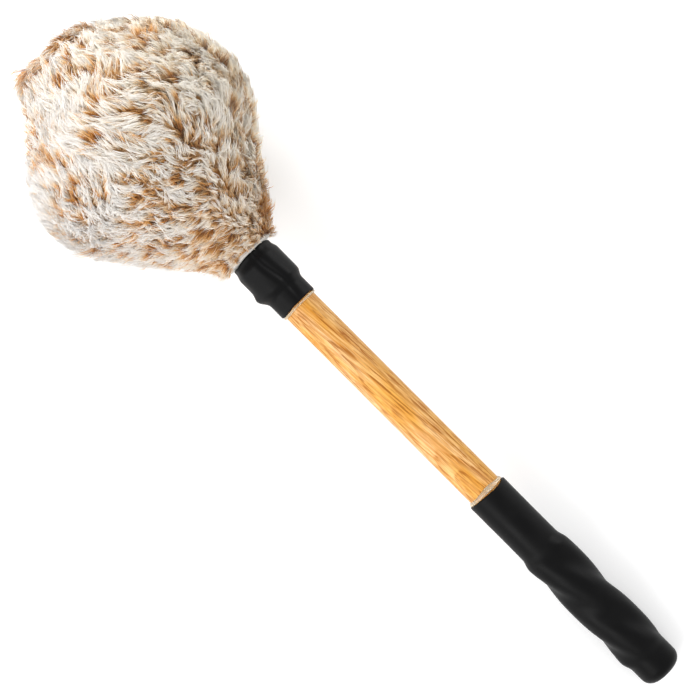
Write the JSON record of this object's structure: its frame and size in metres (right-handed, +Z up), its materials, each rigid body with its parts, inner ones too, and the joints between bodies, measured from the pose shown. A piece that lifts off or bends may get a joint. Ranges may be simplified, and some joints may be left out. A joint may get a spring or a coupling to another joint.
{
  "type": "gong mallet",
  "caption": "Gong mallet with a round oak shaft, a padded fur covered head tied and sleeved at its neck, and a black sleeve grip with twisted lobes.",
  "frame": {"origin": "centre of the bounding box on the floor on which the mallet lies", "axes": "+Z up, +X level along the mallet from the butt towards the head, +Y across it"},
  "size_m": [0.5078, 0.1476, 0.1447],
  "materials": {
    "oak": "satin",
    "black_sleeve": "satin",
    "clear_glue": "satin",
    "fur": "matte",
    "cotton_cord": "matte",
    "seam_thread": "matte",
    "knitted_cotton": "matte",
    "foam": "matte",
    "wool_felt": "matte",
    "core_wood": "matte",
    "zinc_steel": "satin"
  },
  "bodies": {
    "root": {"shaft": "oak", "grip_sleeve": "black_sleeve", "grip_cord_1": "cotton_cord", "grip_cord_2": "cotton_cord", "grip_cord_3": "cotton_cord", "grip_adhesive": "clear_glue", "collar_sleeve": "black_sleeve", "collar_adhesive": "clear_glue", "fur_side_panel": "fur", "fur_crown_panel": "fur", "crown_seam_thread": "seam_thread", "neck_drawstring": "cotton_cord", "neck_binding": "cotton_cord", "head_core": "core_wood", "core_washer": "zinc_steel", "core_screw": "zinc_steel", "felt_wrap": "wool_felt", "front_pad": "wool_felt", "head_padding": "foam", "inner_cover": "knitted_cotton", "inner_cover_tie": "cotton_cord"}
  },
  "joints": []
}
